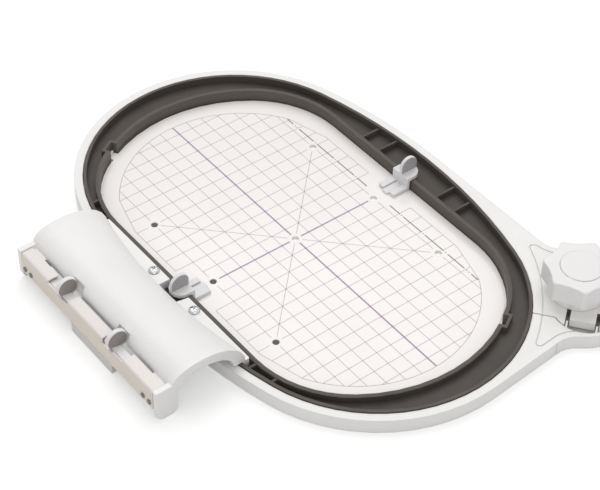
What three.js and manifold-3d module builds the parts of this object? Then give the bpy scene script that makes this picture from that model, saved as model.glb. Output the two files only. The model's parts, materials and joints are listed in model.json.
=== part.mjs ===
// Machine embroidery hoop: a dark inner hoop that carries the machine coupling, a split outer hoop
// closed by a twist lock, and a clear sewing template with two lift-out clips.
// Millimetres, +Z up, standing on z = 0. X runs across the hoop, away from the coupling; Y runs along it.
import * as THREE from 'three';
import { mergeVertices } from 'three/addons/utils/BufferGeometryUtils.js';
import Module from 'manifold-3d';

const wasm = await Module();
wasm.setup();

// Clearances
const HOOP_GAP = 0.4; // between the two hoops
const SEAT_GAP = 0.3; // between pieces that touch
const SLIDE_GAP = 0.6; // beside a sliding grip
const SCREW_PLAY = 0.35; // round a screw or rivet

// Hoop plan: a four-arc oval, given at the seam between the hoops
const SEAM_HALF_WIDTH = 100.8;
const SEAM_HALF_LENGTH = 158;
const SEAM_END_RADIUS = 91.7;

// Outer hoop
const OUTER_WALL = 5.2;
const OUTER_HEIGHT = 9.3;
const SPLIT_WIDTH = 0.8;
const SPLIT_ANGLE = -47.3; // degrees round the front end arc
const SPLIT_HEADING = -52; // degrees, the way the split runs out past the lock
const FRONT_ARM_ANGLE = 274; // where the front arm leaves the end arc
const PANEL_INSET = 4.2; // moulded line round the lock plate
const PANEL_REACHES = [48.5, 34.7]; // how far that line runs down each arm from the knob's axis
const PANEL_ARC = 132; // its side along the hoop, touching the band's edge at the split
const PANEL_CORNER = 2.4;
const GROOVE_WIDTH = 0.5;
const GROOVE_DEPTH = 0.5;
const ARM_SEAM_REACH = 50; // upright seam on the front arm, from the arm's foot

// Inner hoop
const INNER_HEIGHT = 10.1;
const RIM_WALL = 2;
const FIELD_WALL = 2.6;
const FLOOR_BOTTOM = 2.5;
const FLOOR_THICK = 2.2;
const FIELD_DROP = 0.9; // field wall below the rim
const SIDE_BAND = 19; // seam to opening, at the sides
const END_BAND = 18.5; // seam to opening, at the ends
const OPENING_SHIFT = -1.6; // centre of the opening, towards the coupling
const OPENING_CORNER = 66;
const OPENING_END_INSET = 7.8; // how much less than half the seam's width the field's end radius is
const OPENING_END_RADIUS = SEAM_HALF_WIDTH - OPENING_END_INSET;
const RIB_THICK = 1.6;
const RIB_DROP = 1.2; // rib top below the rim
const RIB_PLACES = [-43, -27, 27, 43]; // along the side away from the coupling
const COUPLING_RIB_GAPS = [4, 19.5]; // past each end of the coupling
const POCKET_WALL = 1.8; // round each key pocket
const POCKET_PLAY = 1;

// Template
const TEMPLATE_THICK = 2;
const SIDE_PLAY = 0.5;
const END_PLAY = 1.3;
const FIELD_SHIFT = -1.6; // centre of the sewing field, from the opening's centre
const MARK_STEP = 60;
const MARK_RADIUS = 2.2;
const KEY_ANGLE = 60; // degrees from X, round an end arc of the opening
const KEY_WIDTH = 6;
const KEY_REACH = 3.6; // key past the template's end

// Template clips
const CLIP_WIDTH = 14;
const CLIP_WALL = 2;
const CLIP_NOTCH_DEPTH = 0.9; // notch in the field wall
const CLIP_SIDE_PLAY = 0.8;
const CLIP_POCKET_PLAY = 2; // round the ledge, in the cover's flange
const FINGER_LENGTH = 10.8;
const FINGER_WIDTH = 4.1;
const FINGER_THICK = 2;
const TONGUE_WIDTH = 4.8;
const TONGUE_EXTRA = 1.4;
const HOOK_REACH = 2.6;
const HOOK_THICK = 0.6;
const LEDGE_REACH = 10;
const LEDGE_THICK = 2.6;
const TAB_THICK = 2.2;
const TAB_HEIGHT = 10.2;
const TAB_LENGTH = 12;

// Coupling cover
const COUPLING_SHIFT = 2.5; // centre of the coupling along Y
const COUPLING_HALF_LENGTH = 70;
const COVER_WALL = 3;
const COVER_END_WALL = 3.5;
const COVER_END_BAND = 6.5;
const ROOT_INSET = 4.3; // arch root inside the seam
const ARCH_TOP = 29.8;
const ARCH_HALF_WIDTH = 24.5; // root to crown
const LIP_REACH = 17.7; // crown to lip
const LIP_LEVEL = 17.5;
const LIP_POWER = 0.8; // below 1, the lip side is squarer than an ellipse
const FLANGE_RISE = 1; // flange above the inner hoop's rim
const FLANGE_GAP = 1; // flange to the field wall
const FOOT_TOP = 22;
const FOOT_CORNER = 5;
const FOOT_LAP = 4.4; // foot past the lip
const FOOT_BLOCK = 16; // block inside the rail's end
const BLOCK_REACH = 4.4; // block past the rail's inner edge

// Coupling rail, base and grips
const RAIL_GAP = 2; // cover lip to rail
const RAIL_WIDTH = 7.7;
const RAIL_SHEET = 1.1;
const RAIL_BEND = 1.6; // outer radius of the fold
const RAIL_TOP = 21;
const RAIL_BOTTOM = 7.2;
const SLOT_FAR = 38; // grip slots in the rail's top, from the coupling's centre
const SLOT_FLOOR = 19.4;
const BASE_SHEET = 1;
const BASE_BLOCK_FRONT = 26; // ends of the middle block, from the coupling's centre
const BASE_BLOCK_REAR = 15;
const BASE_BLOCK_REACH = 2; // middle block past the rail's inner edge
const SOCKET_PLACE = 30;
const SOCKET_RADIUS = 3.2;
const GRIP_PLACE = 25;
const GRIP_SHIFT = 1; // both pads, towards the rear
const GRIP_TRAVEL = 4.5;
const GRIP_RADIUS = 6.5;
const GRIP_LEVEL = 22.6;
const GRIP_OFFSET = 1.1; // pad centre from the slider's middle, towards the cover
const GRIP_THICK = 2.8;
const SLIDER_WIDTH = 5.6;
const SLIDER_HEIGHT = 8.8;
const SLIDER_NEAR = 14;
const SLIDER_FAR = 39;
const LATCH_SHEET = 1;
const LATCH_LENGTH = 13;
const LATCH_NOTCH = 4.4;
const STOP_HALF = 2;
const SPRING_RADIUS = 1.5;
const SPRING_WIRE = 0.35;
const SPRING_TURNS = 5;
const CURL_STEPS = 8;
const WIRE_SIDES = 5;

// Fasteners
const SCREW_SHANK = 1.4;
const SCREW_HEAD = 3.4;
const SCREW_DOME = 1.6;
const SCREW_BOSS = 3.6;
const SCREW_SPACING = 40; // flange screws
const SCREW_INSET = 3.5; // flange screws, from the flange's inner edge
const SCREW_HOLE_FLOOR = 1;
const RIVET_SHANK = 1;
const RIVET_HEAD = 1.7;
const RIVET_DOME = 0.7;
const RIVET_GRIP = 5;
const RIVET_LEVEL = 10.5;
const RIVET_PLACES = [7, 13]; // from the coupling's end
const SMALL_HEAD = 2.6;
const SMALL_HEAD_THICK = 1.5;
const BASE_SCREW_DEPTH = 6;
const HEAD_MARGIN = 1; // base screw heads, from the foot block's edges

// Twist lock
const LOCK_ANGLE = -37; // degrees round the front end arc
const LOCK_REACH = 20.7; // hoop wall to knob axis
const LOCK_RADIUS = 35.5;
const LOCK_FILLET = 16;
const RECESS_RADIUS = 19.4; // round recess in front of the split
const RECESS_PLACE = 12.2; // its centre, from the knob's axis towards the front
const RECESS_FLOOR = 1.5;
const GUIDE_SHIFT = 6; // recess, guides and tongue, from the knob's axis out along the split
const GUIDE_SPACING = 17;
const GUIDE_WIDTH = 2.4;
const GUIDE_LENGTH = 9;
const GUIDE_STEP = 0.5; // guide rib below the plate's top
const SHELF_THICK = 5.4; // plate left over the tongue
const POCKET_HALF = 15;
const POCKET_PLACE = 1.5; // pocket's rear wall, from the knob's axis
const TONGUE_HALF = 11;
const CLOSING_TRAVEL = 3;
const LOBE_REACH = 4; // rear end's two lobes beside the guides, past the split
const COLLAR_WALL = 2.6;
const COLLAR_HEIGHT = 6;
const COLLAR_TOP = 1.9;
const COLLAR_BORE = 4.6;
const COLLAR_SCREW_ANGLES = [49, 121]; // degrees round the knob's axis
const CAM_THICK = 3.2;
const CAM_EDGE = 1.2; // cam left outside its slots
const CAM_RIM_GAP = 0.7;
const CAM_PIN_RADIUS = 2;
const CAM_PIN_PLACE = 9;
const CAM_PIN_DEPTH = 5;
const CAM_SLOT_PLAY = 0.5;
const PIN_BOSS_WALL = 1.8;
const KNOB_TURN = 120;
const KNOB_TIPS = 7;
const KNOB_TIP_RADIUS = 22.5;
const KNOB_HOLLOW = 1.4; // how far each side curves in
const KNOB_TIP_CUT = 0.04; // share of a side taken off at each tip
const KNOB_HEIGHT = 14;
const KNOB_BEVEL = 1.2;
const KNOB_PHASE = 180;
const CAP_RADIUS = 12;
const CAP_THICK = 2;
const CAP_PROUD = 0.3;
const PIVOT_SHANK = 2;
const PIVOT_HEAD = 4.4;
const PIVOT_HEAD_THICK = 2.6;

const CUT = 1; // how far a cutting tool runs past the surface it opens
const HAIR = 0.05; // how far one cut laps the next, so that no film is left between them
const DOME_STEPS = 4;

const radians = THREE.MathUtils.degToRad;
const degrees = THREE.MathUtils.radToDeg;
const polar = (angle, r, cx = 0, cy = 0) =>
  new THREE.Vector2(cx + r * Math.cos(radians(angle)), cy + r * Math.sin(radians(angle)));

// Solids from three.js geometries, joined and cut as closed bodies
function solid(geometry) {
  geometry.deleteAttribute('normal');
  geometry.deleteAttribute('uv');
  const merged = mergeVertices(geometry);
  const index = merged.index.array;
  const kept = [];
  for (let i = 0; i < index.length; i += 3) {
    const [a, b, c] = [index[i], index[i + 1], index[i + 2]];
    if (a !== b && b !== c && c !== a) kept.push(a, b, c);
  }
  return new wasm.Manifold(new wasm.Mesh({
    numProp: 3,
    vertProperties: new Float32Array(merged.attributes.position.array),
    triVerts: new Uint32Array(kept),
  }));
}

function geometryOf(body) {
  const mesh = body.getMesh();
  const geometry = new THREE.BufferGeometry();
  geometry.setAttribute('position', new THREE.BufferAttribute(mesh.vertProperties, 3));
  geometry.setIndex(new THREE.BufferAttribute(mesh.triVerts, 1));
  geometry.computeVertexNormals();
  return geometry;
}

const joined = (...bodies) => bodies.reduce((sum, body) => sum.add(body));
const cut = (body, ...tools) => tools.reduce((rest, tool) => rest.subtract(tool), body);

function box(x0, x1, y0, y1, z0, z1) {
  const geometry = new THREE.BoxGeometry(x1 - x0, y1 - y0, z1 - z0);
  return solid(geometry.translate((x0 + x1) / 2, (y0 + y1) / 2, (z0 + z1) / 2));
}

function plate(outline, z0, z1) {
  const shape = new THREE.Shape(outline);
  const geometry = new THREE.ExtrudeGeometry(shape, { depth: z1 - z0, bevelEnabled: false });
  return solid(geometry.translate(0, 0, z0));
}

// A profile in X and Z, run along Y; bend(x, y) may move its points along X
function bar(profile, y0, y1, steps = 1, bend = null) {
  const shape = new THREE.Shape(profile);
  const geometry = new THREE.ExtrudeGeometry(shape, { depth: y1 - y0, steps, bevelEnabled: false });
  geometry.rotateX(Math.PI / 2).translate(0, y1, 0);
  const place = geometry.attributes.position;
  for (let i = 0; bend && i < place.count; i++) {
    const x = place.getX(i);
    place.setX(i, x + bend(x, place.getY(i)));
  }
  return solid(geometry);
}

function rod(x, y, z0, z1, radius, sides = 20) {
  const geometry = new THREE.CylinderGeometry(radius, radius, z1 - z0, sides);
  return solid(geometry.rotateX(Math.PI / 2).translate(x, y, (z0 + z1) / 2));
}

function rodAlongY(x, z, y0, y1, radius, sides = 32) {
  const geometry = new THREE.CylinderGeometry(radius, radius, y1 - y0, sides);
  return solid(geometry.translate(x, (y0 + y1) / 2, z));
}

function turned(profile, sides) {
  const points = profile.map(([r, z]) => new THREE.Vector2(r, z));
  return solid(new THREE.LatheGeometry(points, sides).rotateX(Math.PI / 2));
}

function arc(centre, radius, from, to, steps) {
  const turn = (to - from) / steps;
  return Array.from({ length: steps + 1 }, (_, i) => polar(from + i * turn, radius, centre.x, centre.y));
}

// Quarter-ellipse dome for a turned profile, from its rim to the axis
function dome(radius, height, seat) {
  const points = [];
  for (let i = 0; i <= DOME_STEPS; i++) {
    const lift = (i / DOME_STEPS) * (Math.PI / 2);
    points.push([i < DOME_STEPS ? radius * Math.cos(lift) : 0, seat + height * Math.sin(lift)]);
  }
  return points;
}

// Hoop ovals: every offset shares the same four arc centres
const END_STEPS = 26;
const SIDE_STEPS = 12;
const FILLET_STEPS = 4;
const FOLD_STEPS = 3;
const LOCK_STEPS = 28;
const PANEL_ARC_SIDES = 120;
const RECESS_SIDES = 64;
const CORNER_STEPS = 8;
const FIELD_END_STEPS = 10;
const ARCH_STEPS = 7;
const COVER_STEPS = 12;
const KNOB_SIDE_STEPS = 6;
const CAM_SLOT_STEPS = 14;
const endCentreY = SEAM_HALF_LENGTH - SEAM_END_RADIUS;
const sideRadius = (SEAM_HALF_WIDTH ** 2 + endCentreY ** 2 - SEAM_END_RADIUS ** 2)
  / (2 * (SEAM_HALF_WIDTH - SEAM_END_RADIUS));
const sideCentreX = sideRadius - SEAM_HALF_WIDTH;
const sideTurn = degrees(Math.atan(endCentreY / sideCentreX));
const rearEnd = new THREE.Vector2(0, endCentreY);
const frontEnd = new THREE.Vector2(0, -endCentreY);
const farSide = new THREE.Vector2(-sideCentreX, 0);
const couplingSide = new THREE.Vector2(sideCentreX, 0);

function oval(offset) {
  return [
    ...arc(farSide, sideRadius + offset, -sideTurn, sideTurn, SIDE_STEPS).slice(1),
    ...arc(rearEnd, SEAM_END_RADIUS + offset, sideTurn, 180 - sideTurn, END_STEPS).slice(1),
    ...arc(couplingSide, sideRadius + offset, 180 - sideTurn, 180 + sideTurn, SIDE_STEPS).slice(1),
    ...arc(frontEnd, SEAM_END_RADIUS + offset, 180 + sideTurn, 360 - sideTurn, END_STEPS).slice(1),
  ];
}

// Shared levels and places
const openingHalfWidth = SEAM_HALF_WIDTH - SIDE_BAND;
const openingHalfLength = SEAM_HALF_LENGTH - END_BAND;
const openingLeft = OPENING_SHIFT - openingHalfWidth;
const openingRight = OPENING_SHIFT + openingHalfWidth;
const openingEndY = openingHalfLength - OPENING_END_RADIUS;
const floorTop = FLOOR_BOTTOM + FLOOR_THICK;
const fieldTop = INNER_HEIGHT - FIELD_DROP;
const clipNotchLevel = fieldTop - CLIP_NOTCH_DEPTH;
const clipNotchHalf = CLIP_WIDTH / 2 + CLIP_SIDE_PLAY;
const templateLeft = openingLeft + SIDE_PLAY;
const templateRight = openingRight - SIDE_PLAY;
const couplingFront = COUPLING_SHIFT - COUPLING_HALF_LENGTH;
const couplingRear = COUPLING_SHIFT + COUPLING_HALF_LENGTH;
const flangeInnerX = openingLeft - FIELD_WALL - FLANGE_GAP;
const flangeTop = INNER_HEIGHT + FLANGE_RISE;
const screwX = flangeInnerX - SCREW_INSET;
const screwPlaces = [-SCREW_SPACING / 2, SCREW_SPACING / 2];
const keyPlaces = [
  { x: OPENING_SHIFT, y: openingEndY, angle: 180 - KEY_ANGLE },
  { x: OPENING_SHIFT, y: -openingEndY, angle: -KEY_ANGLE },
];
const hoopOuterRadius = SEAM_END_RADIUS + HOOP_GAP + OUTER_WALL;
const lock = polar(LOCK_ANGLE, hoopOuterRadius + LOCK_REACH, frontEnd.x, frontEnd.y);
const splitStart = polar(SPLIT_ANGLE, SEAM_END_RADIUS - OUTER_WALL, frontEnd.x, frontEnd.y);
const rearward = polar(SPLIT_HEADING + 90, 1);
const splitY = splitStart.clone().sub(lock).dot(rearward); // in the lock's own frame
const splitX = splitStart.clone().sub(lock).dot(polar(SPLIT_HEADING, 1));

// Materials
const material = (color, roughness, metalness = 0) =>
  new THREE.MeshStandardMaterial({ color, roughness, metalness });
const darkPlastic = () => material(0x4a4440, 0.55);
const greyPlastic = () => material(0xd3d1cb, 0.5);
const clearPlastic = () => material(0xf4efe9, 0.2);
const nickel = () => material(0xc2b8aa, 0.3, 1);
const steel = () => material(0xbfc2c6, 0.28, 1);
const basePlastic = () => material(0x8d8b87, 0.6);

const group = new THREE.Group();
function add(name, body, look) {
  const mesh = new THREE.Mesh(geometryOf(body), look);
  mesh.name = name;
  group.add(mesh);
  return mesh;
}

// Turns a body made at the origin about Z and sets it down at a place
const placed = (body, x, y, angle = 0) => body.rotate([0, 0, angle]).translate([x, y, 0]);

// Screw with a domed head, standing on `seat`
function domedScrew(x, y, tip, seat) {
  const shank = [[0, tip], [SCREW_SHANK, tip], [SCREW_SHANK, seat]];
  return placed(turned([...shank, ...dome(SCREW_HEAD, SCREW_DOME, seat)], 20), x, y);
}

// Outer hoop: the band, its two arms and the lock plate in one outline, split at the lock
function armFillet(foot, angle, inset) {
  const out = polar(angle, 1);
  const along = polar(angle + 90, 1);
  const radius = LOCK_FILLET + inset;
  const reach = LOCK_RADIUS - inset + radius;
  const start = foot.clone().addScaledVector(out, radius).sub(lock);
  const middle = -start.dot(along);
  const spread = Math.sqrt(middle ** 2 - start.lengthSq() + reach ** 2);
  const step = Math.abs(middle - spread) < Math.abs(middle + spread) ? middle - spread : middle + spread;
  const centre = foot.clone().addScaledVector(along, step).addScaledVector(out, radius);
  return { centre, radius, toLock: degrees(lock.clone().sub(centre).angle()) };
}

const outerOffset = HOOP_GAP + OUTER_WALL;
const frontArmFoot = (inset) => polar(FRONT_ARM_ANGLE, hoopOuterRadius - inset, frontEnd.x, frontEnd.y);

function outerOutline(inset) {
  const offset = outerOffset - inset;
  const front = armFillet(frontArmFoot(inset), FRONT_ARM_ANGLE, inset);
  const side = armFillet(new THREE.Vector2(SEAM_HALF_WIDTH + offset, 0), 0, inset);
  return [
    ...arc(farSide, sideRadius + offset, 0, sideTurn, SIDE_STEPS / 2),
    ...arc(rearEnd, SEAM_END_RADIUS + offset, sideTurn, 180 - sideTurn, END_STEPS).slice(1),
    ...arc(couplingSide, sideRadius + offset, 180 - sideTurn, 180 + sideTurn, SIDE_STEPS).slice(1),
    ...arc(frontEnd, SEAM_END_RADIUS + offset, 180 + sideTurn, FRONT_ARM_ANGLE, END_STEPS / 2).slice(1),
    ...arc(front.centre, front.radius, FRONT_ARM_ANGLE - 180, front.toLock, FILLET_STEPS),
    ...arc(lock, LOCK_RADIUS - inset, front.toLock + 180, side.toLock + 180, LOCK_STEPS).slice(1),
    ...arc(side.centre, side.radius, side.toLock, 180, FILLET_STEPS).slice(1),
  ];
}

// The lock plate's panel: inside the outline, beside the band, near the knob, with round corners
function lockPanel() {
  const [front, side] = PANEL_REACHES;
  const near = placed(box(-LOCK_RADIUS, LOCK_RADIUS, -front, side, 0, CUT), lock.x, lock.y, SPLIT_ANGLE);
  const { x, y } = polar(SPLIT_ANGLE, hoopOuterRadius - PANEL_ARC, frontEnd.x, frontEnd.y);
  const hoopSide = rod(x, y, -CUT, 2 * CUT, PANEL_ARC, PANEL_ARC_SIDES);
  const panel = plate(outerOutline(PANEL_INSET), 0, CUT).intersect(near).subtract(hoopSide);
  return panel.slice(CUT / 2).offset(-PANEL_CORNER, 'Round').offset(PANEL_CORNER, 'Round');
}

function panelGroove() {
  const panel = lockPanel();
  const line = panel.subtract(panel.offset(-GROOVE_WIDTH, 'Round'));
  return line.extrude(GROOVE_DEPTH + CUT).translate([0, 0, OUTER_HEIGHT - GROOVE_DEPTH]);
}

function armSeam() {
  const foot = frontArmFoot(0);
  const { x, y } = polar(FRONT_ARM_ANGLE + 90, ARM_SEAM_REACH, foot.x, foot.y);
  const half = GROOVE_WIDTH / 2;
  return placed(box(-half, half, -CUT, GROOVE_DEPTH, -CUT, OUTER_HEIGHT + CUT), x, y, FRONT_ARM_ANGLE + 90);
}

// Lock, made in its own frame: X runs out along the split, Y to the rear, from the knob's axis
const guidePlaces = [GUIDE_SHIFT - GUIDE_SPACING / 2, GUIDE_SHIFT + GUIDE_SPACING / 2];
const shelfBottom = OUTER_HEIGHT - SHELF_THICK;
const bossTop = shelfBottom - SLIDE_GAP;
const bossRadius = CAM_PIN_RADIUS + PIN_BOSS_WALL;
const camRadius = CAM_PIN_PLACE + CAM_PIN_RADIUS + CAM_SLOT_PLAY + CAM_EDGE;
const collarWell = camRadius + CAM_RIM_GAP;
const collarRadius = collarWell + COLLAR_WALL;

// The rear end's lobes, which fill the recess outside the guides
function lockLobes() {
  const radius = RECESS_RADIUS - SPLIT_WIDTH;
  const round = rod(GUIDE_SHIFT, -RECESS_PLACE, shelfBottom, OUTER_HEIGHT, radius, RECESS_SIDES);
  const [front, rear] = [splitY - LOBE_REACH, splitY + SPLIT_WIDTH];
  return [
    [GUIDE_SHIFT - RECESS_RADIUS, guidePlaces[0] - GUIDE_WIDTH / 2],
    [guidePlaces[1] + GUIDE_WIDTH / 2, GUIDE_SHIFT + RECESS_RADIUS],
  ].map(([x0, x1]) => round.intersect(box(x0, x1, front, rear, shelfBottom, OUTER_HEIGHT)));
}

function lockRecess() {
  const [bottom, top] = [RECESS_FLOOR, OUTER_HEIGHT + CUT];
  const ribHalf = GUIDE_WIDTH / 2 - SLIDE_GAP;
  const round = rod(GUIDE_SHIFT, -RECESS_PLACE, bottom, top, RECESS_RADIUS, RECESS_SIDES);
  const front = box(-LOCK_RADIUS, LOCK_RADIUS, -LOCK_RADIUS, splitY, bottom, top);
  const ribs = guidePlaces.map((x) =>
    box(x - ribHalf, x + ribHalf, -LOCK_RADIUS, splitY, 0, OUTER_HEIGHT - GUIDE_STEP));
  return cut(round.intersect(front), ...ribs, ...lockLobes());
}

// The front end's tongue, which runs under the rear end and carries the front cam pin
function lockTongue() {
  const [left, right] = [GUIDE_SHIFT - TONGUE_HALF, GUIDE_SHIFT + TONGUE_HALF];
  return joined(
    box(left, right, splitY - SPLIT_WIDTH, bossRadius - CAM_PIN_PLACE, 0, RECESS_FLOOR),
    rod(0, -CAM_PIN_PLACE, 0, bossTop, bossRadius),
  );
}

function lockTools() {
  const half = SPLIT_WIDTH / 2;
  const [bottom, top] = [-CUT, OUTER_HEIGHT + CUT];
  const pocketSides = [GUIDE_SHIFT - POCKET_HALF, GUIDE_SHIFT + POCKET_HALF];
  const split = box(splitX, LOCK_RADIUS + CUT, splitY - half, splitY + half, bottom, top);
  const pocket = box(...pocketSides, splitY, -POCKET_PLACE, bottom, shelfBottom);
  const pinHalf = CAM_PIN_RADIUS + CAM_SLOT_PLAY;
  const [pinFront, pinRear] = [-CAM_PIN_PLACE, CLOSING_TRAVEL - CAM_PIN_PLACE];
  const slots = guidePlaces.map((x) =>
    box(x - GUIDE_WIDTH / 2, x + GUIDE_WIDTH / 2, splitY, splitY + GUIDE_LENGTH, shelfBottom - CUT, top));
  return [
    cut(joined(split, pocket), lockTongue(), ...lockLobes()),
    lockRecess(),
    ...slots,
    box(-pinHalf, pinHalf, pinFront, pinRear, shelfBottom - CUT, top),
    ...[pinFront, pinRear].map((y) => rod(0, y, shelfBottom - CUT, top, pinHalf)),
    rod(0, pinFront, camPinBottoms[1], top, CAM_PIN_RADIUS + SEAT_GAP),
    rod(0, CAM_PIN_PLACE, camPinBottoms[0], top, CAM_PIN_RADIUS + SEAT_GAP),
  ].map((tool) => placed(tool, lock.x, lock.y, SPLIT_HEADING));
}

const collarScrewPlace = collarWell + COLLAR_WALL / 2;
const camPinAngles = [SPLIT_HEADING + 90, SPLIT_HEADING - 90];
const camPinBottoms = [OUTER_HEIGHT - CAM_PIN_DEPTH, bossTop - CAM_PIN_DEPTH / 2];
const smallHole = RIVET_SHANK + SCREW_PLAY;

function buildOuterHoop() {
  const [bottom, top] = [-CUT, OUTER_HEIGHT + CUT];
  const tools = [plate(oval(HOOP_GAP), bottom, top), panelGroove(), armSeam(), ...lockTools()];
  for (const angle of COLLAR_SCREW_ANGLES) {
    const { x, y } = polar(angle, collarScrewPlace, lock.x, lock.y);
    tools.push(rod(x, y, bottom, top, smallHole, 12));
    tools.push(rod(x, y, bottom, SMALL_HEAD_THICK + 2 * SEAT_GAP, SMALL_HEAD + SCREW_PLAY, 16));
  }
  return cut(plate(outerOutline(0), 0, OUTER_HEIGHT), ...tools);
}
add('outer_ring', buildOuterHoop(), greyPlastic());

// Inner hoop: channel section with ribs, clip notches, key pockets and screw bosses
// Outline of the sewing field: straight sides, round corners and end arcs, shrunk by the two plays
function fieldOutline(sidePlay, endPlay) {
  const halfWidth = openingHalfWidth - sidePlay;
  const corner = OPENING_CORNER - endPlay;
  const end = OPENING_END_RADIUS - endPlay;
  const inwards = halfWidth - corner;
  const rise = Math.sqrt((end - corner) ** 2 - inwards ** 2);
  const turn = degrees(Math.atan2(rise, inwards));
  const at = (x, y) => new THREE.Vector2(OPENING_SHIFT + x, y);
  const rear = openingEndY + rise;
  return [
    ...arc(at(inwards, rear), corner, 0, turn, CORNER_STEPS),
    ...arc(at(0, openingEndY), end, turn, 180 - turn, FIELD_END_STEPS).slice(1),
    ...arc(at(-inwards, rear), corner, 180 - turn, 180, CORNER_STEPS).slice(1),
    ...arc(at(-inwards, -rear), corner, 180, 180 + turn, CORNER_STEPS),
    ...arc(at(0, -openingEndY), end, 180 + turn, 360 - turn, FIELD_END_STEPS).slice(1),
    ...arc(at(inwards, -rear), corner, 360 - turn, 360, CORNER_STEPS).slice(1),
  ];
}

// A box across the opening's edge at a key, wider and longer than the key by a margin
function keyBox(place, margin, z0, z1) {
  const half = KEY_WIDTH / 2 + margin;
  const end = OPENING_END_RADIUS - END_PLAY;
  const tool = box(end - KEY_WIDTH / 2, end + KEY_REACH + margin, -half, half, z0, z1);
  return placed(tool, place.x, place.y, place.angle);
}

function buildInnerHoop() {
  const wallOutline = fieldOutline(-FIELD_WALL, -FIELD_WALL);
  const channel = (z0, z1) => cut(plate(oval(-RIM_WALL), z0, z1), plate(wallOutline, z0, z1));
  const couplingRibs = COUPLING_RIB_GAPS.flatMap((gap) => [couplingFront - gap, couplingRear + gap]);
  const rib = (x0, x1, y) => box(x0, x1, y - RIB_THICK / 2, y + RIB_THICK / 2, 0, INNER_HEIGHT - RIB_DROP);
  const ribs = [
    ...RIB_PLACES.map((y) => rib(OPENING_SHIFT, SEAM_HALF_WIDTH, y)),
    ...couplingRibs.map((y) => rib(-SEAM_HALF_WIDTH, OPENING_SHIFT, y)),
  ];
  const bosses = screwPlaces.map((y) => rod(screwX, y, -2 * CUT, floorTop, SCREW_BOSS));
  const notch = (x0, x1) => box(x0, x1, -clipNotchHalf, clipNotchHalf, clipNotchLevel, INNER_HEIGHT);
  const holes = screwPlaces.map((y) =>
    rod(screwX, y, SCREW_HOLE_FLOOR, floorTop + CUT, SCREW_SHANK + SCREW_PLAY, 12));
  const pocketWalls = keyPlaces.map((place) => keyBox(place, POCKET_PLAY + POCKET_WALL, 0, fieldTop));
  return cut(
    plate(oval(0), 0, INNER_HEIGHT),
    plate(fieldOutline(0, 0), -CUT, INNER_HEIGHT + CUT),
    plate(fieldOutline(-FIELD_WALL - HAIR, -FIELD_WALL - HAIR), fieldTop, INNER_HEIGHT + CUT),
    cut(channel(floorTop, INNER_HEIGHT + CUT), ...ribs, ...pocketWalls),
    cut(channel(-CUT, FLOOR_BOTTOM), ...bosses),
    notch(openingLeft - FIELD_WALL - CUT, openingLeft + CUT),
    notch(openingRight - CUT, openingRight + FIELD_WALL + CUT),
    ...holes,
    ...keyPlaces.map((place) => keyBox(place, POCKET_PLAY, -CUT, INNER_HEIGHT + CUT)),
  );
}
add('inner_ring', buildInnerHoop(), darkPlastic());

// Template with its marking holes, two locating keys and seats for the clips
const clipSides = [
  { name: 'clip_left', edge: templateLeft, out: -1 },
  { name: 'clip_right', edge: templateRight, out: 1 },
];

// A box beside a template edge, from distance u0 to u1 outwards of the edge
function edgeBox({ edge, out }, u0, u1, y0, y1, z0, z1) {
  const ends = [edge + out * u0, edge + out * u1];
  return box(Math.min(...ends), Math.max(...ends), y0, y1, z0, z1);
}

function buildTemplate() {
  const top = TEMPLATE_THICK + CUT;
  const tools = [];
  const marks = [[0, 0], [-1, 0], [1, 0], [-1, -1], [1, -1], [-1, 1], [1, 1]];
  for (const [i, j] of marks) {
    const x = OPENING_SHIFT + FIELD_SHIFT + i * MARK_STEP;
    tools.push(rod(x, j * MARK_STEP, -CUT, top, MARK_RADIUS, 16));
  }
  const half = CLIP_WIDTH / 2 + SEAT_GAP;
  const seat = CLIP_WALL + 2 * SEAT_GAP;
  for (const side of clipSides) {
    tools.push(edgeBox(side, -seat, CUT, -half, half, -CUT, top));
    tools.push(edgeBox(side, -seat - HOOK_REACH, CUT, -half, half, -CUT, HOOK_THICK + 2 * SEAT_GAP));
  }
  const sheet = plate(fieldOutline(SIDE_PLAY, END_PLAY), 0, TEMPLATE_THICK);
  const keys = keyPlaces.map((place) => keyBox(place, 0, 0, TEMPLATE_THICK));
  return cut(joined(sheet, ...keys), ...tools);
}
add('template', buildTemplate(), clearPlastic());

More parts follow.
